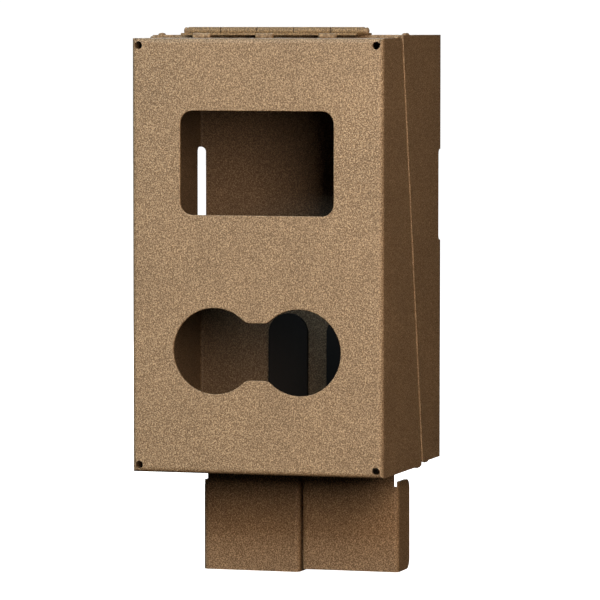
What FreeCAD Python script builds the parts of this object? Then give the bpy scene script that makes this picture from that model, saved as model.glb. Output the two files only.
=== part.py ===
import FreeCAD, Part
import math
import os
import Sketcher
from FreeCAD import Rotation, Vector

# Lockable steel security box that holds a trail camera on a tree.
#
# Frame, in millimetres: the origin is in the middle of the back face, which
# lies against the tree.  +Z is up, the front faces -Y and +X is on the right
# of someone who faces the front.
#
# The box is a pan folded from one sheet, open along a slanted seam.  The
# cover is a second pan whose sides meet the box's edge to edge, and it swings
# up on a welded piano hinge along the top.  Under the bottom, one guard on
# each half shrouds the padlock that joins them.

doc = FreeCAD.newDocument("camera_security_box")

# ---------------------------------------------------------------- dimensions

DIMENSIONS = {
    # sheet and folds
    "gauge": 1.5,
    "bend_outer": 2.5,
    "bend_inner": 1.0,
    "box_bend_outer": 3.0,
    "box_bend_inner": 1.5,
    # outer sizes; depths are measured forward from the back face
    "full_depth": 104.3,
    "cover_width": 125.0,
    "box_width": 126.0,
    "box_top": 104.0,
    "box_foot": 103.8,
    "cover_top": 102.6,
    "cover_foot": 105.4,
    # the slanted seam, and the gaps along it
    "seam_top": 71.0,
    "seam_foot": 34.0,
    "side_gap": 0.3,
    "flange_gap": 0.6,
    # openings of the front plate
    "window_width": 76.4,
    "window_height": 49.7,
    "window_middle": 43.2,
    "window_corner": 6.0,
    "lens_radius": 20.65,
    "lens_spacing": 42.1,
    "lens_drop": 46.6,
    "neck_height": 27.4,
    "neck_blend": 5.0,
    "edge_ease": 0.4,
    # round reliefs where three bends meet, and the slit that runs from them
    "relief_radius": 1.9,
    "relief_inset": 3.45,
    "corner_slit": 0.35,
    "cut_depth": 6.0,
    # strap slots through the two rear corners, and the lag screw holes
    "strap_low": 3.3,
    "strap_high": 48.0,
    "strap_side": 6.0,
    "strap_back": 4.3,
    "strap_round": 2.5,
    "strap_cut": 3.1,
    "lag_radius": 4.0,
    "lag_spacing": 170.0,
    # hinge
    "axis_depth": 72.1,
    "knuckle_radius": 1.95,
    "pin_radius": 1.0,
    "pin_play": 0.05,
    "leaf_gauge": 1.0,
    "leaf_reach": 13.0,
    "hinge_length": 88.0,
    "knuckle_pitch": 18.4,
    "knuckle_gap": 0.5,
    "barrel_clear": 0.45,
    "cap_length": 2.6,
    "cap_tip": 0.9,
    # lock guards
    "guard_face": 32.5,
    "guard_depth": 20.6,
    "guard_outer": 50.1,
    "guard_middle": 0.6,
    "guard_foot": 158.6,
    "guard_top": 114.2,
    "guard_notch": 2.4,
    "neck_outer": 47.7,
    "neck_middle": 1.1,
    "foot_length": 12.0,
    "web_gap": 0.4,
    "ear_corner": 5.0,
    "shackle_radius": 4.75,
    "shackle_back": 12.5,
    "shackle_drop": 136.0,
    # rubber pads that the camera's back rests on
    "pad_width": 19.8,
    "pad_spacing": 30.0,
    "pad_high": -34.5,
    "pad_low": -92.0,
    "pad_thick": 3.0,
    # weld beads
    "bead_leg": 2.2,
    "stitch_length": 8.4,
    "stitch_pitch": 31.5,
    "stitch_shift": -1.7,
    "guard_bead": 14.0,
    "guard_bead_middle": 15.0,
    "guard_bead_pitch": 16.5,
    "tack_long": 3.2,
    "tack_wide": 1.4,
    "tack_high": 1.1,
}

sheet = doc.addObject("Spreadsheet::Sheet", "dims")
for row, (alias, number) in enumerate(DIMENSIONS.items(), start=1):
    sheet.set(f"A{row}", alias)
    sheet.set(f"B{row}", str(number))
    sheet.setAlias(f"B{row}", alias)
doc.recompute()

# The seam runs straight from seam_top at box_top to seam_foot at -box_foot.
SEAM_SLOPE = "(dims.seam_top - dims.seam_foot) / (dims.box_top + dims.box_foot)"
BOX_HALF = "(dims.box_width / 2)"
COVER_HALF = "(dims.cover_width / 2)"
AXIS_HEIGHT = "(dims.box_top + dims.knuckle_radius)"


def side_depth(height):
    """Depth of the rear edge of the cover's sides at a height, as an expression."""
    return f"-(dims.seam_foot + dims.side_gap + ({height} + dims.box_foot) * {SEAM_SLOPE})"


# ------------------------------------------------------------------- helpers

def new_body(label):
    body = doc.addObject("PartDesign::Body", label)
    body.Label = label
    return body


def new_sketch(body, plane, offset="0"):
    """Sketch on one of the body's origin planes, moved along its normal."""
    sketch = body.newObject("Sketcher::SketchObject", f"{body.Name}_{plane[:2]}")
    support = [f for f in body.Origin.OriginFeatures if f.Role == plane][0]
    sketch.AttachmentSupport = [(support, "")]
    sketch.MapMode = "FlatFace"
    sketch.setExpression("AttachmentOffset.Base.z", offset)
    return sketch


def bind(sketch, kind, geometry, point, expression):
    """Tie one coordinate of a point to the sheet."""
    index = sketch.addConstraint(Sketcher.Constraint(kind, -1, 1, geometry, point, 1.0))
    sketch.setExpression(f"Constraints[{index}]", expression)


def add_outline(sketch, corners):
    """Closed outline of straight lines; a corner is a pair of expressions."""
    first = sketch.GeometryCount
    count = len(corners)
    ring = [Vector(math.cos(2 * math.pi * i / count), math.sin(2 * math.pi * i / count), 0)
            for i in range(count)]
    for i in range(count):
        sketch.addGeometry(Part.LineSegment(ring[i], ring[(i + 1) % count]), False)
    for i in range(count):
        after = first + (i + 1) % count
        sketch.addConstraint(Sketcher.Constraint("Coincident", first + i, 2, after, 1))
    for i, (across, up) in enumerate(corners):
        bind(sketch, "DistanceX", first + i, 1, across)
        bind(sketch, "DistanceY", first + i, 1, up)


def add_rectangle(sketch, left, right, low, high):
    add_outline(sketch, [(left, low), (right, low), (right, high), (left, high)])


def add_circle(sketch, across, up, radius):
    index = sketch.addGeometry(Part.Circle(Vector(0, 0, 0), Vector(0, 0, 1), 1.0), False)
    bind(sketch, "DistanceX", index, 3, across)
    bind(sketch, "DistanceY", index, 3, up)
    ring = sketch.addConstraint(Sketcher.Constraint("Radius", index, 1.0))
    sketch.setExpression(f"Constraints[{ring}]", radius)


def extrude(body, kind, sketch, length):
    """Pad or Pocket, half its length to each side of the sketch."""
    volume = body.Shape.Volume if body.Tip else 0.0
    feature = body.newObject(f"PartDesign::{kind}", f"{body.Name}_{kind}")
    feature.Profile = sketch
    feature.SideType = "Symmetric"
    feature.setExpression("Length", length)
    sketch.Visibility = False
    doc.recompute()
    grown = body.Shape.Volume - volume
    if (kind == "Pad") != (grown > 0) or abs(grown) < 1e-3:
        raise RuntimeError(f"{feature.Name} changed the volume by {grown:.3f}")
    return feature


def edges_along(shape, direction, spots):
    """Names of straight edges along a direction that pass one of the spots.

    A spot is a Vector whose component along the direction is ignored.
    """
    names = []
    for number, edge in enumerate(shape.Edges, start=1):
        if not isinstance(edge.Curve, Part.Line) or edge.Curve.Direction.cross(direction).Length > 1e-6:
            continue
        middle = edge.valueAt((edge.FirstParameter + edge.LastParameter) / 2)
        if any((middle - spot).cross(direction).Length < 0.05 for spot in spots):
            names.append(f"Edge{number}")
    return names


def add_fillet(body, names, radius):
    base = body.Tip
    feature = body.newObject("PartDesign::Fillet", f"{body.Name}_Fillet")
    feature.Base = (base, names)
    feature.setExpression("Radius", radius)
    doc.recompute()


def fillet(body, direction, spots, radius):
    names = edges_along(body.Shape, direction, spots)
    if len(names) < len(spots):
        raise RuntimeError(f"{body.Name}: {len(names)} edges found for {len(spots)} spots")
    add_fillet(body, names, radius)


def rim_edges(shape, depth, reach):
    """Names of the edges that lie in the plane y = depth, within reach in X."""
    names = []
    for number, edge in enumerate(shape.Edges, start=1):
        box = edge.BoundBox
        flat = abs(box.YMin - depth) < 0.01 and abs(box.YMax - depth) < 0.01
        if flat and max(abs(box.XMin), abs(box.XMax)) < reach:
            names.append(f"Edge{number}")
    return names


def size(alias):
    return float(sheet.get(alias))


ALONG_X = Vector(1, 0, 0)
ALONG_Y = Vector(0, 1, 0)
ALONG_Z = Vector(0, 0, 1)
GAUGE = size("gauge")


def mirrored_spots(half, *others):
    """Spots at plus and minus half in X, for each (y, z) pair."""
    return [Vector(side * half, y, z) for side in (-1, 1) for y, z in others]


def fold_corners(body, half, depth, low, high, radius):
    """Round the two upright and two level bends around one plate."""
    upright = edges_along(body.Shape, ALONG_Z, mirrored_spots(half, (depth, 0)))
    level = edges_along(body.Shape, ALONG_X, [Vector(0, depth, low), Vector(0, depth, high)])
    add_fillet(body, upright + level, radius)


def corner_reliefs(body, half, plate, low, high):
    """Round relief in each corner of a plate, and the slit between flanges.

    half, low and high are expressions for the pan's outer faces; plate is the
    offset of the plate's middle along the XZ plane's normal, which is -Y.
    """
    reliefs = new_sketch(body, "XZ_Plane", plate)
    for side in ("-", ""):
        for height in (f"{low} + dims.relief_inset", f"{high} - dims.relief_inset"):
            add_circle(reliefs, f"{side}({half} - dims.relief_inset)", height, "dims.relief_radius")
    extrude(body, "Pocket", reliefs, "dims.cut_depth")
    slits = new_sketch(body, "XZ_Plane")
    for side in ("-", ""):
        edge = f"{side}({half} - dims.gauge)"
        inward = f"{side}({half} - dims.gauge - dims.corner_slit)"
        add_rectangle(slits, inward, edge, f"{low} - dims.gauge", f"{low} + dims.relief_inset")
        add_rectangle(slits, inward, edge, f"{high} - dims.relief_inset", f"{high} + dims.gauge")
    extrude(body, "Pocket", slits, "2 * dims.full_depth")


# ----------------------------------------------------------------- box shell

def make_box_shell():
    """Folded pan: back plate, two side walls, top and bottom."""
    body = new_body("box_shell")
    outer = new_sketch(body, "YZ_Plane")
    add_outline(outer, [("0", "-dims.box_foot"), ("0", "dims.box_top"),
                        ("-dims.seam_top", "dims.box_top"), ("-dims.seam_foot", "-dims.box_foot")])
    extrude(body, "Pad", outer, f"2 * {BOX_HALF}")
    half = size("box_width") / 2
    fold_corners(body, half, 0, -size("box_foot"), size("box_top"), "dims.box_bend_outer")

    hollow = new_sketch(body, "YZ_Plane")
    add_rectangle(hollow, "-dims.full_depth", "-dims.gauge",
                  "-dims.box_foot + dims.gauge", "dims.box_top - dims.gauge")
    extrude(body, "Pocket", hollow, f"2 * ({BOX_HALF} - dims.gauge)")
    fold_corners(body, half - GAUGE, -GAUGE, GAUGE - size("box_foot"), size("box_top") - GAUGE,
                 "dims.box_bend_inner")
    corner_reliefs(body, BOX_HALF, "dims.gauge / 2", "-dims.box_foot", "dims.box_top")

    # The strap slots wrap the rear corners: one cut through the back plate
    # and one through each side wall meet at the bend.
    back_slots = new_sketch(body, "XZ_Plane", "0")
    for side in ("-", ""):
        add_rectangle(back_slots, f"{side}({BOX_HALF} - dims.strap_back)",
                      f"{side}({BOX_HALF} + dims.strap_back)", "dims.strap_low", "dims.strap_high")
    extrude(body, "Pocket", back_slots, "2 * dims.strap_cut")
    for side in ("-", ""):
        side_slot = new_sketch(body, "YZ_Plane", f"{side}{BOX_HALF}")
        add_rectangle(side_slot, "-dims.strap_side", "dims.strap_side",
                      "dims.strap_low", "dims.strap_high")
        extrude(body, "Pocket", side_slot, "2 * dims.strap_cut")
    ends = [(-size("strap_side"), size("strap_low")), (-size("strap_side"), size("strap_high"))]
    fillet(body, ALONG_X, mirrored_spots(half, *ends), "dims.strap_round")
    reach = half - size("strap_back")
    ends = [(0, size("strap_low")), (0, size("strap_high"))]
    fillet(body, ALONG_Y, mirrored_spots(reach, *ends), "dims.strap_round")

    lag_holes = new_sketch(body, "XZ_Plane")
    for side in ("-", ""):
        add_circle(lag_holes, "0", f"{side}dims.lag_spacing / 2", "dims.lag_radius")
    extrude(body, "Pocket", lag_holes, "dims.cut_depth")
    return body


# --------------------------------------------------------------- cover shell

def make_cover_shell():
    """Folded pan: front plate with its openings, and four flanges."""
    body = new_body("cover_shell")
    outer = new_sketch(body, "YZ_Plane")
    add_outline(outer, [("-dims.full_depth", "-dims.cover_foot"), ("-dims.full_depth", "dims.cover_top"),
                        (side_depth("dims.cover_top"), "dims.cover_top"),
                        (side_depth("-dims.cover_foot"), "-dims.cover_foot")])
    extrude(body, "Pad", outer, "dims.cover_width")
    half = size("cover_width") / 2
    front = -size("full_depth")
    fold_corners(body, half, front, -size("cover_foot"), size("cover_top"), "dims.bend_outer")

    hollow = new_sketch(body, "YZ_Plane")
    add_rectangle(hollow, "-dims.full_depth + dims.gauge", "0",
                  "-dims.cover_foot + dims.gauge", "dims.cover_top - dims.gauge")
    extrude(body, "Pocket", hollow, "dims.cover_width - 2 * dims.gauge")
    fold_corners(body, half - GAUGE, front + GAUGE, GAUGE - size("cover_foot"),
                 size("cover_top") - GAUGE, "dims.bend_inner")

    # The top and bottom flanges stop a little further from the box's edge.
    ends = new_sketch(body, "YZ_Plane")
    add_rectangle(ends, "-dims.seam_top - dims.flange_gap", "0",
                  "dims.cover_top - dims.gauge", "dims.cover_top + dims.gauge")
    add_rectangle(ends, "-dims.seam_foot - dims.flange_gap", "0",
                  "-dims.cover_foot - dims.gauge", "-dims.cover_foot + dims.gauge")
    extrude(body, "Pocket", ends, "2 * dims.cover_width")
    corner_reliefs(body, COVER_HALF, "dims.full_depth - dims.gauge / 2",
                   "-dims.cover_foot", "dims.cover_top")

    plate = "dims.full_depth - dims.gauge / 2"
    window = new_sketch(body, "XZ_Plane", plate)
    add_rectangle(window, "-dims.window_width / 2", "dims.window_width / 2",
                  "dims.window_middle - dims.window_height / 2",
                  "dims.window_middle + dims.window_height / 2")
    extrude(body, "Pocket", window, "dims.cut_depth")
    heights = [size("window_middle") + side * size("window_height") / 2 for side in (-1, 1)]
    spots = mirrored_spots(size("window_width") / 2, *[(front, height) for height in heights])
    fillet(body, ALONG_Y, spots, "dims.window_corner")

    # Two round openings joined by a neck, with the neck's corners eased.
    lenses = new_sketch(body, "XZ_Plane", plate)
    for side in ("-", ""):
        add_circle(lenses, f"{side}dims.lens_spacing / 2", "-dims.lens_drop", "dims.lens_radius")
    extrude(body, "Pocket", lenses, "dims.cut_depth")
    neck = new_sketch(body, "XZ_Plane", plate)
    add_rectangle(neck, "-dims.lens_spacing / 2", "dims.lens_spacing / 2",
                  "-dims.lens_drop - dims.neck_height / 2", "-dims.lens_drop + dims.neck_height / 2")
    extrude(body, "Pocket", neck, "dims.cut_depth")
    rise = size("neck_height") / 2
    reach = size("lens_spacing") / 2 - math.sqrt(size("lens_radius") ** 2 - rise ** 2)
    spots = mirrored_spots(reach, (front, -size("lens_drop") - rise), (front, -size("lens_drop") + rise))
    fillet(body, ALONG_Y, spots, "dims.neck_blend")

    # The cut edges of both openings are eased on the outer face.
    rims = rim_edges(body.Shape, front, half - size("relief_inset") - size("lens_radius") / 2)
    add_fillet(body, rims, "dims.edge_ease")
    return body


# --------------------------------------------------------------------- hinge

def make_hinge_leaf(label, side, gaps):
    """Leaf with its knuckles; side is "-" for the cover's and "" for the box's.

    gaps are (middle, length) expressions for the other leaf's knuckles.
    """
    body = new_body(label)
    barrel = new_sketch(body, "YZ_Plane")
    add_circle(barrel, "-dims.axis_depth", AXIS_HEIGHT, "dims.knuckle_radius")
    extrude(body, "Pad", barrel, "dims.hinge_length")
    plate = new_sketch(body, "YZ_Plane")
    add_rectangle(plate, "-dims.axis_depth", f"-dims.axis_depth + ({side}dims.leaf_reach)",
                  "dims.box_top", "dims.box_top + dims.leaf_gauge")
    extrude(body, "Pad", plate, "dims.hinge_length")
    bore = new_sketch(body, "YZ_Plane")
    add_circle(bore, "-dims.axis_depth", AXIS_HEIGHT, "dims.pin_radius + dims.pin_play")
    extrude(body, "Pocket", bore, "2 * dims.hinge_length")
    clear = "dims.knuckle_radius + dims.barrel_clear"
    for middle, length in gaps:
        gap = new_sketch(body, "YZ_Plane", middle)
        add_rectangle(gap, f"-dims.axis_depth - ({clear})", f"-dims.axis_depth + ({clear})",
                      f"{AXIS_HEIGHT} - ({clear})", f"{AXIS_HEIGHT} + {clear}")
        extrude(body, "Pocket", gap, length)
    return body


def make_hinge_pin():
    pin = doc.addObject("Part::Cylinder", "hinge_pin")
    pin.Label = "hinge_pin"
    pin.setExpression("Radius", "dims.pin_radius")
    pin.setExpression("Height", "dims.hinge_length")
    pin.setExpression("Placement.Base.x", "-dims.hinge_length / 2")
    pin.setExpression("Placement.Base.y", "-dims.axis_depth")
    pin.setExpression("Placement.Base.z", AXIS_HEIGHT)
    pin.Placement.Rotation = Rotation(ALONG_Y, 90)
    return pin


def make_hinge_caps():
    """Weld dome over each end of the pin, so that it can't be driven out."""
    caps = []
    for name, side, turn in (("left_cap", "-", -90), ("right_cap", "", 90)):
        cap = doc.addObject("Part::Cone", name)
        cap.setExpression("Radius1", "dims.knuckle_radius")
        cap.setExpression("Radius2", "dims.cap_tip")
        cap.setExpression("Height", "dims.cap_length")
        cap.setExpression("Placement.Base.x", f"{side}dims.hinge_length / 2")
        cap.setExpression("Placement.Base.y", "-dims.axis_depth")
        cap.setExpression("Placement.Base.z", AXIS_HEIGHT)
        cap.Placement.Rotation = Rotation(ALONG_Y, turn)
        caps.append(cap)
    group = doc.addObject("Part::Compound", "hinge_end_welds")
    group.Label = "hinge_end_welds"
    group.Links = caps
    return group


# ---------------------------------------------------------------- weld beads

def make_beads(label, middles, length, corner, legs):
    """Straight fillet beads of triangular section, all on one line along X.

    corner is the (y, z) of the right angle; legs are the two signed legs.
    """
    body = new_body(label)
    depth, height = corner
    back, up = legs
    for middle in middles:
        bead = new_sketch(body, "YZ_Plane", middle)
        add_outline(bead, [(depth, height), (f"{depth} + ({back})", height), (depth, f"{height} + ({up})")])
        extrude(body, "Pad", bead, length)
    return body


def make_tacks(label, half, depths):
    """Half-round blobs of weld over the ends of a pan's four corner seams.

    depths are (depth, height, -1 or 1) for the lower and the upper corners.
    """
    blobs = []
    for side in ("-", ""):
        for depth, height, way in depths:
            blob = doc.addObject("Part::Ellipsoid", f"{label}_blob")
            blob.Angle1 = min(0, 90 * way)
            blob.Angle2 = max(0, 90 * way)
            blob.setExpression("Radius1", "dims.tack_high")
            blob.setExpression("Radius2", "dims.tack_wide")
            blob.setExpression("Radius3", "dims.tack_long")
            blob.setExpression("Placement.Base.x", f"{side}({half} - dims.gauge)")
            blob.setExpression("Placement.Base.y", depth)
            blob.setExpression("Placement.Base.z", height)
            blobs.append(blob)
    group = doc.addObject("Part::Compound", label)
    group.Label = label
    group.Links = blobs
    return group


# --------------------------------------------------------------- lock guards

def make_guard(label, side, plate_height, foot_way):
    """U-shaped shroud that hangs under one half, on a narrower neck and foot.

    side is "-" for the left guard.  plate_height is the underside that the
    foot is welded to, and foot_way is "-" for a foot that points forward.
    Both guards are as tall, so the one on the cover hangs lower.
    """
    body = new_body(label)
    lower = f"({plate_height} + dims.box_foot)"
    top = f"({lower} - dims.guard_top)"
    bottom = f"({lower} - dims.guard_foot)"
    face = "-dims.guard_face"
    inside = "(-dims.guard_face + dims.gauge)"
    rear = "(-dims.guard_face + dims.guard_depth)"
    channel = new_sketch(body, "XY_Plane", f"({top} + {bottom}) / 2")
    add_outline(channel, [
        (f"{side}dims.guard_outer", rear), (f"{side}dims.guard_outer", face),
        (f"{side}dims.guard_middle", face), (f"{side}dims.guard_middle", rear),
        (f"{side}(dims.guard_middle + dims.gauge)", rear),
        (f"{side}(dims.guard_middle + dims.gauge)", inside),
        (f"{side}(dims.guard_outer - dims.gauge)", inside),
        (f"{side}(dims.guard_outer - dims.gauge)", rear)])
    extrude(body, "Pad", channel, "dims.guard_foot - dims.guard_top")
    sign = -1 if side else 1
    front = -size("guard_face")
    outer = [Vector(sign * size(alias), front, 0) for alias in ("guard_outer", "guard_middle")]
    inner = [Vector(sign * (size("guard_outer") - GAUGE), front + GAUGE, 0),
             Vector(sign * (size("guard_middle") + GAUGE), front + GAUGE, 0)]
    fillet(body, ALONG_Z, outer, "dims.bend_outer")
    fillet(body, ALONG_Z, inner, "dims.bend_inner")

    middle = f"{side}(dims.neck_outer + dims.neck_middle) / 2"
    neck = new_sketch(body, "YZ_Plane", middle)
    if foot_way:
        near, far, toe = inside, face, f"({inside} - dims.foot_length)"
    else:
        near, far, toe = face, inside, f"({face} + dims.foot_length)"
    under = f"({plate_height} - dims.gauge)"
    add_outline(neck, [(near, top), (near, plate_height), (toe, plate_height),
                       (toe, under), (far, under), (far, top)])
    extrude(body, "Pad", neck, "dims.neck_outer - dims.neck_middle")
    level = -size("cover_foot") if foot_way else -size("box_foot")
    corner = Vector(0, front + GAUGE if foot_way else front, level)
    fillet(body, ALONG_X, [corner], "dims.bend_outer")

    # A notch beside the neck frees the outer bend.
    notch = new_sketch(body, "XZ_Plane", "dims.guard_face")
    add_rectangle(notch, f"{side}dims.neck_outer", f"{side}(dims.guard_outer + dims.gauge)",
                  f"{top} - dims.guard_notch", f"{top} + dims.guard_notch")
    extrude(body, "Pocket", notch, "2 * dims.bend_outer")

    # The free corners of both side flanges are rounded off.
    back = front + size("guard_depth")
    shift = level + size("box_foot")
    ears = [Vector(0, back, shift - size(alias)) for alias in ("guard_top", "guard_foot")]
    fillet(body, ALONG_X, ears, "dims.ear_corner")

    # The middle flange runs on up to the plate and closes the gap between the necks.
    web = new_sketch(body, "YZ_Plane", f"{side}(dims.guard_middle + dims.gauge / 2)")
    add_rectangle(web, f"{face} + dims.bend_outer", f"{rear} - dims.ear_corner",
                  f"{top} - dims.gauge", f"{plate_height} - dims.web_gap")
    extrude(body, "Pad", web, "dims.gauge")

    # The shackle passes through the flanges that lie back to back.
    shackle = new_sketch(body, "YZ_Plane", f"{side}(dims.guard_middle + dims.gauge / 2)")
    add_circle(shackle, "-dims.guard_face + dims.shackle_back", "-dims.shackle_drop", "dims.shackle_radius")
    extrude(body, "Pocket", shackle, "2 * dims.gauge")
    return body


# --------------------------------------------------------------- camera pads

def make_pad(label, side):
    """Flat rubber pad with round ends, stuck upright on the back plate."""
    body = new_body(label)
    outline = new_sketch(body, "XZ_Plane", "dims.gauge + dims.pad_thick / 2")
    middle = f"{side}dims.pad_spacing / 2"
    add_rectangle(outline, f"{middle} - dims.pad_width / 2", f"{middle} + dims.pad_width / 2",
                  "dims.pad_low + dims.pad_width / 2", "dims.pad_high - dims.pad_width / 2")
    extrude(body, "Pad", outline, "dims.pad_thick")
    for end in ("dims.pad_low + dims.pad_width / 2", "dims.pad_high - dims.pad_width / 2"):
        round_end = new_sketch(body, "XZ_Plane", "dims.gauge + dims.pad_thick / 2")
        add_circle(round_end, middle, end, "dims.pad_width / 2")
        extrude(body, "Pad", round_end, "dims.pad_thick")
    return body


# ------------------------------------------------------------------ assembly

box_shell = make_box_shell()
cover_shell = make_cover_shell()

OUTER_MIDDLE = "(dims.hinge_length / 2 + dims.knuckle_pitch * 1.5) / 2"
OUTER_LENGTH = "dims.hinge_length / 2 - dims.knuckle_pitch * 1.5 + dims.knuckle_gap"
INNER_LENGTH = "dims.knuckle_pitch + dims.knuckle_gap"
box_gaps = [("-dims.knuckle_pitch", INNER_LENGTH), ("dims.knuckle_pitch", INNER_LENGTH)]
cover_gaps = [(f"-{OUTER_MIDDLE}", OUTER_LENGTH), ("0", INNER_LENGTH), (OUTER_MIDDLE, OUTER_LENGTH)]

stitches = [f"dims.stitch_shift + {step} * dims.stitch_pitch" for step in ("-1", "0", "1")]
guard_beads = ["dims.guard_bead_middle", "dims.guard_bead_middle + dims.guard_bead_pitch"]

nodes = [
    box_shell,
    cover_shell,
    make_hinge_leaf("hinge_leaf_box", "", box_gaps),
    make_hinge_leaf("hinge_leaf_cover", "-", cover_gaps),
    make_hinge_pin(),
    make_hinge_caps(),
    make_guard("box_lock_guard", "", "-dims.box_foot", ""),
    make_guard("cover_lock_guard", "-", "-dims.cover_foot", "-"),
    make_pad("camera_pad_left", "-"),
    make_pad("camera_pad_right", ""),
    make_beads("cover_hinge_welds", stitches, "dims.stitch_length",
               ("-dims.axis_depth - dims.leaf_reach", "dims.cover_top"),
               ("-dims.bead_leg", "dims.box_top + dims.leaf_gauge - dims.cover_top")),
    make_beads("box_hinge_welds", stitches, "dims.stitch_length",
               ("-dims.axis_depth + dims.leaf_reach", "dims.box_top"),
               ("dims.bead_leg", "dims.leaf_gauge")),
    make_beads("box_guard_welds", guard_beads, "dims.guard_bead",
               ("-dims.guard_face + dims.foot_length", "-dims.box_foot"),
               ("dims.bead_leg", "-dims.gauge")),
    make_beads("cover_guard_welds", [f"-({middle})" for middle in guard_beads], "dims.guard_bead",
               ("-dims.guard_face + dims.gauge - dims.foot_length", "-dims.cover_foot"),
               ("-dims.bead_leg", "-dims.gauge")),
]

nodes.append(make_tacks("cover_corner_welds", COVER_HALF, [
    ("-dims.seam_foot - dims.flange_gap - dims.tack_long", "-dims.cover_foot", -1),
    ("-dims.seam_top - dims.flange_gap - dims.tack_long", "dims.cover_top", 1)]))
nodes.append(make_tacks("box_corner_welds", BOX_HALF, [
    ("-dims.seam_foot + 3 * dims.tack_long", "-dims.box_foot", -1),
    ("-dims.seam_top + 3 * dims.tack_long", "dims.box_top", 1)]))

# -------------------------------------------------------------------- export

doc.recompute()
for item in doc.Objects:
    if "Invalid" in item.State or "Error" in item.State:
        raise RuntimeError(f"{item.Name} failed: {item.State}")

os.makedirs("parts", exist_ok=True)
for node in nodes:
    if node.Shape.isNull() or not node.Shape.isValid():
        raise RuntimeError(f"{node.Label} has no valid shape")
    node.Shape.exportStep(f"parts/{node.Label}.step")
    box = node.Shape.BoundBox
    print(f"{node.Label:22s} solids {len(node.Shape.Solids)}  volume {node.Shape.Volume:9.1f}  "
          f"x {box.XMin:7.2f} {box.XMax:7.2f}  y {box.YMin:7.2f} {box.YMax:7.2f}  "
          f"z {box.ZMin:7.2f} {box.ZMax:7.2f}")
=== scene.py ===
import bpy
import math
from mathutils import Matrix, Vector


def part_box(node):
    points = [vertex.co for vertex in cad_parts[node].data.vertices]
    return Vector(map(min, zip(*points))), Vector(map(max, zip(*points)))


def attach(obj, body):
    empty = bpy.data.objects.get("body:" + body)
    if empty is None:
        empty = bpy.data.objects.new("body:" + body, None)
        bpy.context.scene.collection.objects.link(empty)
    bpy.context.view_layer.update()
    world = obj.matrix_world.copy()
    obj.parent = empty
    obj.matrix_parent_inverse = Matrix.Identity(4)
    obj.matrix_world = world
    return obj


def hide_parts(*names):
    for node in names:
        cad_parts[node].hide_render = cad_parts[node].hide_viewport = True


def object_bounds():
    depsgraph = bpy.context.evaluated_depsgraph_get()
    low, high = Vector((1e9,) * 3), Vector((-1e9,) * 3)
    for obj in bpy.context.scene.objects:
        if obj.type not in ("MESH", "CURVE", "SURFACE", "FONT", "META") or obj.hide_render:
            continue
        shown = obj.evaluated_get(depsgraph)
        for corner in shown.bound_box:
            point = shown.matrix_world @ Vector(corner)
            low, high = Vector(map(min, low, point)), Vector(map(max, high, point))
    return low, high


# A lockable steel case for a trail camera: a folded box that is strapped to
# a tree, and a folded cover that swings up on a piano hinge along the top.
# Everything is in metres, in the frame of the loaded model: the back face is
# at y = 0, the front faces -Y and +Z is up.

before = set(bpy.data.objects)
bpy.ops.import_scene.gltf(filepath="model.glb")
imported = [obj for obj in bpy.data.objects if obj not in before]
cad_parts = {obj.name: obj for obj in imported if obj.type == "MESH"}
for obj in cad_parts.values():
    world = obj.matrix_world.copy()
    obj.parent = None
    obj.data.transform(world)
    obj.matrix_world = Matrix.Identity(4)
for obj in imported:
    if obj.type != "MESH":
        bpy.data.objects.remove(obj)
cad_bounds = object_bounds()


# ------------------------------------------------------------------ camera
# A long lens to the right of the front, at the height of the case's top, so
# that the upright edges stay nearly parallel.
camera_place = Vector((0.644, -2.1553, 0.110))
camera_aim = Vector((0.0198, -0.0981, -0.0217))

camera_data = bpy.data.cameras.new("camera")
camera_data.lens = 271.8
camera_data.sensor_width = 36.0
camera_data.clip_end = 50.0
camera = bpy.data.objects.new("camera", camera_data)
camera.location = camera_place
camera.rotation_euler = (camera_aim - camera_place).to_track_quat("-Z", "Y").to_euler()
bpy.context.scene.collection.objects.link(camera)
bpy.context.scene.camera = camera
bpy.context.scene.view_settings.view_transform = "Standard"


# ------------------------------------------------------------------ lights
# A warm strip low on the right and a larger, cooler panel high in front, with
# a weak panel behind and very little light from anywhere else.
def add_softbox(name, azimuth, elevation, distance, width, height, watts, colour):
    """A rectangular light that faces the middle of the case, with its angles in degrees from the front."""
    around, up = math.radians(azimuth), math.radians(elevation)
    toward = Vector((math.sin(around) * math.cos(up), -math.cos(around) * math.cos(up), math.sin(up)))
    data = bpy.data.lights.new(name, "AREA")
    data.shape = "RECTANGLE"
    data.size = width
    data.size_y = height
    data.energy = watts
    data.color = colour
    box = bpy.data.objects.new(name, data)
    box.location = toward * distance + Vector((0, -0.05, 0))
    box.rotation_euler = (-toward).to_track_quat("-Z", "Y").to_euler()
    bpy.context.scene.collection.objects.link(box)


add_softbox("low_strip", 28, 12, 1.1, 0.31, 0.42, 7.7, (1.0, 0.76, 0.59))
add_softbox("high_panel", -5, 43, 2.4, 1.25, 1.75, 43.0, (0.90, 1.06, 1.17))
add_softbox("rear_panel", -150, 30, 1.6, 1.0, 1.0, 14.0, (1.0, 0.97, 0.93))

world = bpy.data.worlds.new("studio")
bpy.context.scene.world = world
world.use_nodes = True
world.node_tree.nodes.clear()


def add_node(tree, kind, values=None, **settings):
    """Adds one node. Each of values goes to the input of that name or number.

    A socket is linked to it, and anything else is set on it.
    """
    node = tree.nodes.new(kind)
    for name, setting in settings.items():
        setattr(node, name, setting)
    for key, value in (values or {}).items():
        if isinstance(value, bpy.types.NodeSocket):
            tree.links.new(value, node.inputs[key])
        else:
            node.inputs[key].default_value = value
    return node


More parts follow.
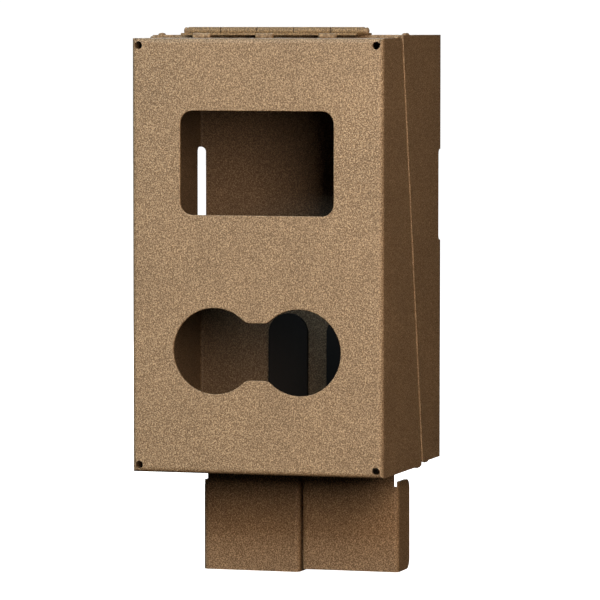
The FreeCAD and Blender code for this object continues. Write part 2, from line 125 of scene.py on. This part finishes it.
sky_ray = add_node(world.node_tree, "ShaderNodeLightPath")
sky_place = add_node(world.node_tree, "ShaderNodeTexCoord").outputs["Generated"]
sky_way = add_node(world.node_tree, "ShaderNodeSeparateXYZ", {0: sky_place})
sky_glow = add_node(world.node_tree, "ShaderNodeMapRange",
                    {"Value": sky_way.outputs["Z"], "From Min": -0.1, "From Max": 0.3,
                     "To Min": 0.008, "To Max": 0.04})
sky_dim = add_node(world.node_tree, "ShaderNodeBackground",
                   {"Color": (1.0, 0.88, 0.74, 1), "Strength": sky_glow.outputs[0]})
sky_white = add_node(world.node_tree, "ShaderNodeBackground", {"Color": (1, 1, 1, 1), "Strength": 1.05})
sky = add_node(world.node_tree, "ShaderNodeMixShader",
               {0: sky_ray.outputs["Is Camera Ray"], 1: sky_dim.outputs[0], 2: sky_white.outputs[0]})
add_node(world.node_tree, "ShaderNodeOutputWorld", {0: sky.outputs[0]})


# ------------------------------------------------------------------ floor
# A roll of white background paper, lit to pure white around the case.
def linear(hex_colour):
    """An sRGB hex colour as linear red, green, blue and alpha."""
    parts = [int(hex_colour[i:i + 2], 16) / 255 for i in (1, 3, 5)]
    return [p / 12.92 if p <= 0.04045 else ((p + 0.055) / 1.055) ** 2.4 for p in parts] + [1.0]


paper = bpy.data.materials.new("background_paper")
paper.use_nodes = True
paper.node_tree.nodes.clear()
paper_fibre = add_node(paper.node_tree, "ShaderNodeTexNoise", {"Scale": 400.0})
paper_tone = add_node(paper.node_tree, "ShaderNodeMix",
                      {0: paper_fibre.outputs["Fac"], 6: linear("#F4F3F1"), 7: linear("#FBFAF8")},
                      data_type="RGBA")
paper_face = add_node(paper.node_tree, "ShaderNodeBsdfPrincipled",
                      {"Base Color": paper_tone.outputs[2], "Roughness": 0.9,
                       "Emission Color": (1, 1, 1, 1), "Emission Strength": 1.1})
add_node(paper.node_tree, "ShaderNodeOutputMaterial", {0: paper_face.outputs[0]})

floor_mesh = bpy.data.meshes.new("floor")
floor_height = cad_bounds[0][2]
floor_half = 6.0
floor_mesh.from_pydata([(x * floor_half, y * floor_half, floor_height)
                        for x, y in ((-1, -1), (1, -1), (1, 1), (-1, 1))], [], [(0, 1, 2, 3)])
floor = bpy.data.objects.new("floor", floor_mesh)
bpy.context.scene.collection.objects.link(floor)
floor_mesh.materials.append(paper)
floor.visible_diffuse = False
floor.visible_glossy = False


# ------------------------------------------------------------------ box and cover
# Two folded pans of 1.5 mm sheet steel, with a fine-textured powder coat
# baked on in a tan bronze. It is dry and pebbly; its high spots are glossier and also painted lighter, a
# painted glint over the coat's grain.
def powder_coat(name, light, dark, grain_mm, bump):
    """Textured powder coat: pebbles of grain_mm over slow drifts in tone, their high spots painted lighter as
    a painted glint, with painted shade darkening the inside of the case.
    """
    coat = bpy.data.materials.new(name)
    coat.use_nodes = True
    tree = coat.node_tree
    tree.nodes.clear()
    place = add_node(tree, "ShaderNodeTexCoord").outputs["Object"]
    # Turned, so that no flat face lies in a plane of the noise's own grid.
    turned = add_node(tree, "ShaderNodeMapping", {"Vector": place, "Rotation": (0.6, 0.4, 0.9)}).outputs[0]
    pebbles = add_node(tree, "ShaderNodeTexNoise",
                       {"Vector": turned, "Scale": 1000 / grain_mm, "Detail": 3.0,
                        "Roughness": 0.65}).outputs["Fac"]
    drift_mm = 30
    drift = add_node(tree, "ShaderNodeTexNoise",
                     {"Vector": turned, "Scale": 1000 / drift_mm, "Detail": 2.0}).outputs["Fac"]
    # Painted glint: the high spots of the pebbles take the lighter colour, on top of the coat's own random
    # grain.
    spread = add_node(tree, "ShaderNodeMapRange",
                      {"Value": pebbles, "From Min": 0.44, "From Max": 0.68,
                       "To Min": 0.0, "To Max": 1.0}).outputs[0]
    grain_and_glint_tone = add_node(tree, "ShaderNodeMix", {0: spread, 6: linear(dark), 7: linear(light)},
                          data_type="RGBA").outputs[2]
    drift_tone = add_node(tree, "ShaderNodeMapRange",
                          {"Value": drift, "From Min": 0.3, "From Max": 0.7,
                           "To Min": 0.94, "To Max": 1.06}).outputs[0]
    tone = add_node(tree, "ShaderNodeMix", {0: 1.0, 6: grain_and_glint_tone, 7: drift_tone},
                    data_type="RGBA", blend_type="MULTIPLY").outputs[2]
    # Painted shade: the inside of the case is darkened to less than half. A point is inside where it
    # lies deeper than the sheet under all of the case's outer faces.
    middle, inside_half = (0.0, -0.0519, -0.0005), (0.0620, 0.0512, 0.1030)
    way = add_node(tree, "ShaderNodeVectorMath", {0: place, 1: middle}, operation="SUBTRACT").outputs[0]
    way = add_node(tree, "ShaderNodeVectorMath", {0: way}, operation="ABSOLUTE").outputs[0]
    way = add_node(tree, "ShaderNodeVectorMath", {0: inside_half, 1: way}, operation="SUBTRACT").outputs[0]
    depths = add_node(tree, "ShaderNodeSeparateXYZ", {0: way}).outputs
    depth = add_node(tree, "ShaderNodeMath", {0: depths["X"], 1: depths["Y"]}, operation="MINIMUM").outputs[0]
    depth = add_node(tree, "ShaderNodeMath", {0: depth, 1: depths["Z"]}, operation="MINIMUM").outputs[0]
    # Painted shade factor for the inside of the case.
    inside_shade = add_node(tree, "ShaderNodeMapRange", {"Value": depth, "From Min": -0.0002, "From Max": 0.0004,
                                                 "To Min": 1.0, "To Max": 0.45}).outputs[0]
    tone = add_node(tree, "ShaderNodeMix", {0: 1.0, 6: tone, 7: inside_shade},
                    data_type="RGBA", blend_type="MULTIPLY").outputs[2]
    rough = add_node(tree, "ShaderNodeMapRange",
                     {"Value": pebbles, "To Min": 0.70, "To Max": 0.45}).outputs[0]
    relief = add_node(tree, "ShaderNodeBump",
                      {"Height": pebbles, "Strength": bump, "Distance": 0.0002}).outputs[0]
    face = add_node(tree, "ShaderNodeBsdfPrincipled",
                    {"Base Color": tone, "Roughness": rough, "Normal": relief, "IOR": 1.5})
    add_node(tree, "ShaderNodeOutputMaterial", {0: face.outputs[0]})
    return coat


def finish_node(node, material):
    """Gives a carried-over node its finish."""
    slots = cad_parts[node].data.materials
    if not slots:
        slots.append(material)
    for i in range(len(slots)):
        slots[i] = material


bronze_coat = powder_coat("bronze_powder_coat", "#D8BA92", "#7A6246", 0.6, 1.0)
finish_node("box_shell", bronze_coat)
finish_node("cover_shell", bronze_coat)


# ------------------------------------------------------------------ hinge leaves
# A piano hinge rolled from 1 mm strip and coated with the case once it was
# welded on. The coat is a little darker over the oiled strip.
leaf_coat = powder_coat("hinge_leaf_coat", "#BA9A6C", "#665032", 0.6, 0.8)
finish_node("hinge_leaf_box", leaf_coat)
finish_node("hinge_leaf_cover", leaf_coat)


# ------------------------------------------------------------------ hinge pin
# Plain drawn steel wire, bright where the knuckles rub it.
wire = bpy.data.materials.new("drawn_steel_wire")
wire.use_nodes = True
wire.node_tree.nodes.clear()
wire_place = add_node(wire.node_tree, "ShaderNodeTexCoord").outputs["Object"]
wire_marks = add_node(wire.node_tree, "ShaderNodeTexNoise",
                      {"Vector": wire_place, "Scale": 900.0, "Detail": 3.0}).outputs["Fac"]
wire_tone = add_node(wire.node_tree, "ShaderNodeMix",
                     {0: wire_marks, 6: linear("#6B6660"), 7: linear("#A8A49C")}, data_type="RGBA").outputs[2]
wire_rough = add_node(wire.node_tree, "ShaderNodeMapRange",
                      {"Value": wire_marks, "To Min": 0.28, "To Max": 0.5}).outputs[0]
wire_face = add_node(wire.node_tree, "ShaderNodeBsdfPrincipled",
                     {"Base Color": wire_tone, "Metallic": 1.0, "Roughness": wire_rough})
add_node(wire.node_tree, "ShaderNodeOutputMaterial", {0: wire_face.outputs[0]})
finish_node("hinge_pin", wire)


# ------------------------------------------------------------------ lock guards
# Folded from the same sheet and welded on before the coat.
finish_node("box_lock_guard", bronze_coat)
finish_node("cover_lock_guard", bronze_coat)


# ------------------------------------------------------------------ camera pads
# Matt near-black rubber, a little dusty, with a fine moulded tooth. Its near-black colour is a painted shade
# that stands in for the shadow there.
pad_shade_rubber = bpy.data.materials.new("pad_rubber")
pad_shade_rubber.use_nodes = True
pad_shade_rubber.node_tree.nodes.clear()
rubber_place = add_node(pad_shade_rubber.node_tree, "ShaderNodeTexCoord").outputs["Object"]
rubber_tooth = add_node(pad_shade_rubber.node_tree, "ShaderNodeTexNoise",
                        {"Vector": rubber_place, "Scale": 1600.0, "Detail": 2.0}).outputs["Fac"]
# Painted shade: the pads' near-black tone makes them read as unlit shadow.
pad_shade_tone = add_node(pad_shade_rubber.node_tree, "ShaderNodeMix",
                       {0: rubber_tooth, 6: linear("#080706"), 7: linear("#171412")},
                       data_type="RGBA").outputs[2]
rubber_relief = add_node(pad_shade_rubber.node_tree, "ShaderNodeBump",
                         {"Height": rubber_tooth, "Strength": 0.5, "Distance": 0.0001}).outputs[0]
rubber_face = add_node(pad_shade_rubber.node_tree, "ShaderNodeBsdfPrincipled",
                       {"Base Color": pad_shade_tone, "Roughness": 0.85, "Normal": rubber_relief, "IOR": 1.5})
add_node(pad_shade_rubber.node_tree, "ShaderNodeOutputMaterial", {0: rubber_face.outputs[0]})
finish_node("camera_pad_left", pad_shade_rubber)
finish_node("camera_pad_right", pad_shade_rubber)


# ------------------------------------------------------------------ weld beads
# Short stitch welds, laid down as a row of overlapping puddles and coated
# with the rest, so they are the same colour but smoother and lumpier.
weld_coat = powder_coat("coated_weld_metal", "#BC9F78", "#7A6348", 1.2, 0.5)

bead_tree = bpy.data.node_groups.new("weld_bead", "GeometryNodeTree")
bead_tree.interface.new_socket("Geometry", in_out="INPUT", socket_type="NodeSocketGeometry")
for label, kind in (("Pitch", "NodeSocketFloat"), ("Half Size", "NodeSocketVector"),
                    ("Jitter", "NodeSocketFloat"), ("Seed", "NodeSocketInt")):
    bead_tree.interface.new_socket(label, in_out="INPUT", socket_type=kind)
bead_tree.interface.new_socket("Geometry", in_out="OUTPUT", socket_type="NodeSocketGeometry")
bead_in = add_node(bead_tree, "NodeGroupInput")
bead_line = add_node(bead_tree, "GeometryNodeMeshToCurve", {"Mesh": bead_in.outputs["Geometry"]})
bead_steps = add_node(bead_tree, "GeometryNodeResampleCurve",
                      {"Curve": bead_line.outputs[0], "Length": bead_in.outputs["Pitch"]}, mode="LENGTH")
puddle = add_node(bead_tree, "GeometryNodeMeshIcoSphere", {"Radius": 1.0, "Subdivisions": 3})
low = add_node(bead_tree, "ShaderNodeMath", {0: 1.0, 1: bead_in.outputs["Jitter"]}, operation="SUBTRACT")
high = add_node(bead_tree, "ShaderNodeMath", {0: 1.0, 1: bead_in.outputs["Jitter"]}, operation="ADD")
puddle_size = add_node(bead_tree, "FunctionNodeRandomValue",
                       {2: low.outputs[0], 3: high.outputs[0], "Seed": bead_in.outputs["Seed"]},
                       data_type="FLOAT")
puddle_scale = add_node(bead_tree, "ShaderNodeVectorMath",
                        {0: bead_in.outputs["Half Size"], "Scale": puddle_size.outputs[1]}, operation="SCALE")
puddles = add_node(bead_tree, "GeometryNodeInstanceOnPoints",
                   {"Points": bead_steps.outputs[0], "Instance": puddle.outputs["Mesh"],
                    "Scale": puddle_scale.outputs[0]})
bead_solid = add_node(bead_tree, "GeometryNodeRealizeInstances", {0: puddles.outputs[0]})
bead_smooth = add_node(bead_tree, "GeometryNodeSetShadeSmooth", {0: bead_solid.outputs[0]})
bead_coated = add_node(bead_tree, "GeometryNodeSetMaterial",
                       {0: bead_smooth.outputs[0], "Material": weld_coat})
add_node(bead_tree, "NodeGroupOutput", {0: bead_coated.outputs[0]})


def lay_beads(name, node, body, lines, half_size, pitch, seed, jitter=0.07):
    """Lays a bead along each line, given by its two ends, as one piece that stands for a CAD node."""
    mesh = bpy.data.meshes.new(name)
    mesh.from_pydata([end for line in lines for end in line],
                     [(2 * i, 2 * i + 1) for i in range(len(lines))], [])
    bead = bpy.data.objects.new(name, mesh)
    bpy.context.scene.collection.objects.link(bead)
    modifier = bead.modifiers.new("beads", "NODES")
    modifier.node_group = bead_tree
    settings = {"Pitch": pitch, "Half Size": half_size, "Jitter": jitter, "Seed": seed}
    for socket in bead_tree.interface.items_tree:
        if socket.in_out == "INPUT" and socket.name in settings:
            modifier[socket.identifier] = settings[socket.name]
    bpy.context.view_layer.update()
    solid = bpy.data.meshes.new_from_object(bead.evaluated_get(bpy.context.evaluated_depsgraph_get()))
    bead.modifiers.remove(modifier)
    bead.data = solid
    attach(bead, body)
    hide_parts(node)


def stitches(y, z):
    """The three stitches that hold one leaf, as lines along X."""
    half_length = 0.0036
    return [((x - half_length, y, z), (x + half_length, y, z)) for x in (-0.0332, -0.0017, 0.0298)]


leaf_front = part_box("hinge_leaf_cover")[0].y
lay_beads("cover_hinge_beads", "cover_hinge_welds", "cover",
          stitches(leaf_front - 0.0006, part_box("cover_shell")[1].z + 0.0009),
          (0.0009, 0.0015, 0.0014), 0.0008, 3)
leaf_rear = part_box("hinge_leaf_box")[1].y
lay_beads("box_hinge_beads", "box_hinge_welds", "box",
          stitches(leaf_rear + 0.0006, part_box("box_shell")[1].z + 0.0001),
          (0.0009, 0.0015, 0.00095), 0.0008, 4)

# A dome of weld closes each end of the barrel.
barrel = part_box("hinge_end_welds")
axis_y = (barrel[0].y + barrel[1].y) / 2
axis_z = (barrel[0].z + barrel[1].z) / 2
lay_beads("hinge_end_caps", "hinge_end_welds", "box",
          [((side * 0.0443, axis_y, axis_z), (side * 0.0454, axis_y, axis_z)) for side in (-1, 1)],
          (0.0011, 0.0017, 0.0017), 0.0006, 5)

# Two beads run along the edge of each guard's foot.
for body, node, side, seed in (("box", "box_guard_welds", 1, 6), ("cover", "cover_guard_welds", -1, 7)):
    low_corner, high_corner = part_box(node)
    foot_y = high_corner.y - 0.0015 if body == "box" else low_corner.y + 0.0015
    plate_z = high_corner.z - 0.0002
    lay_beads(body + "_guard_beads", node, body,
              [((side * near, foot_y, plate_z), (side * far, foot_y, plate_z))
               for near, far in ((0.0090, 0.0210), (0.0255, 0.0375))],
              (0.0009, 0.0015, 0.0013), 0.0008, seed)

# A tack holds each folded corner, above and below, beside the seam.
for body, node, across, seed in (("cover", "cover_corner_welds", 0.0610, 9),
                                 ("box", "box_corner_welds", 0.0615, 8)):
    low_corner, high_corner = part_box(node)
    spots = ((low_corner.y + 0.0032, high_corner.z - 0.0011),
             (high_corner.y - 0.0032, low_corner.z + 0.0011))
    lay_beads(body + "_corner_beads", node, body,
              [((side * across, y - 0.0019, z), (side * across, y + 0.0019, z))
               for side in (-1, 1) for y, z in spots],
              (0.0013, 0.0012, 0.0010), 0.0010, seed)
